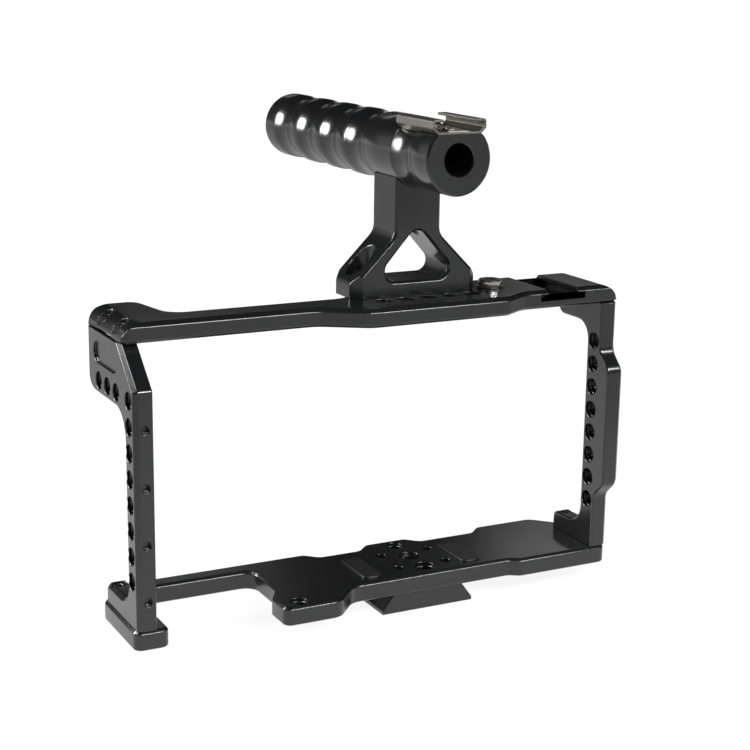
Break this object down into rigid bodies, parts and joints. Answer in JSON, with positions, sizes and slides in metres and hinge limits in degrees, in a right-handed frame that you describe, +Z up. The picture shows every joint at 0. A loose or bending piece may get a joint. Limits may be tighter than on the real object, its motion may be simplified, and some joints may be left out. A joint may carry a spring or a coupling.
{
  "type": "camera cage",
  "caption": "Machined frame that bolts around a camera, with tapped hole rows, a top handle, two shoe slots and a dovetail foot.",
  "frame": {"origin": "on the dovetail foot's underside, on the axis of the middle tripod hole", "axes": "+Z up, +X to the right along the bay's width, +Y from the front to the rear along the handle"},
  "size_m": [0.1956, 0.1385, 0.1846],
  "materials": {
    "anodised_black": "satin black anodised, machined and bead blasted",
    "black_steel": "black oxide",
    "bright_steel": "bright",
    "rubber": "matte",
    "nylon": "matte"
  },
  "bodies": {
    "cage": {"base_plate": "anodised_black", "top_plate": "anodised_black", "left_side_plate": "anodised_black", "right_side_plate": "anodised_black", "dovetail_foot": "anodised_black", "dovetail_screws": "black_steel", "top_left_screws": "black_steel", "top_right_screw": "black_steel", "top_right_dowel": "bright_steel", "left_heel_screw": "black_steel", "right_heel_screw": "black_steel", "left_column_screw": "black_steel", "right_column_screw": "black_steel", "left_pad": "rubber", "right_pad": "rubber", "handle_post": "anodised_black", "handle_base_screws": "black_steel", "handle_grip": "anodised_black", "grip_screw": "black_steel", "cold_shoe": "bright_steel", "cold_shoe_spring": "bright_steel", "cold_shoe_screws": "bright_steel"},
    "base_screw_slider": {"base_screw_washer": "nylon"},
    "base_screw": {"base_screw": "bright_steel"},
    "top_screw_slider": {"top_screw_washer": "bright_steel"},
    "top_screw": {"top_screw": "bright_steel"}
  },
  "joints": [
    {"name": "base_screw_lift", "type": "slide", "parent": "cage", "child": "base_screw_slider", "axis": [0, 0, 1], "range_m": [0, 0.0067]},
    {"name": "base_screw_turn", "type": "hinge", "parent": "base_screw_slider", "child": "base_screw", "pos_m": [0, 0, 0.003], "axis": [0, 0, 1], "range_deg": [0, 1900]},
    {"name": "top_screw_lift", "type": "slide", "parent": "cage", "child": "top_screw_slider", "axis": [0, 0, 1], "range_m": [0, 0.0045]},
    {"name": "top_screw_turn", "type": "hinge", "parent": "top_screw_slider", "child": "top_screw", "pos_m": [0.0277, -0.0077, 0.12005], "axis": [0, 0, 1], "range_deg": [0, 1276]}
  ],
  "couplings": [
    {"joint": "base_screw_turn", "follows": "base_screw_lift", "rad_per_m": 4947.4},
    {"joint": "top_screw_turn", "follows": "top_screw_lift", "rad_per_m": 4947.4}
  ]
}
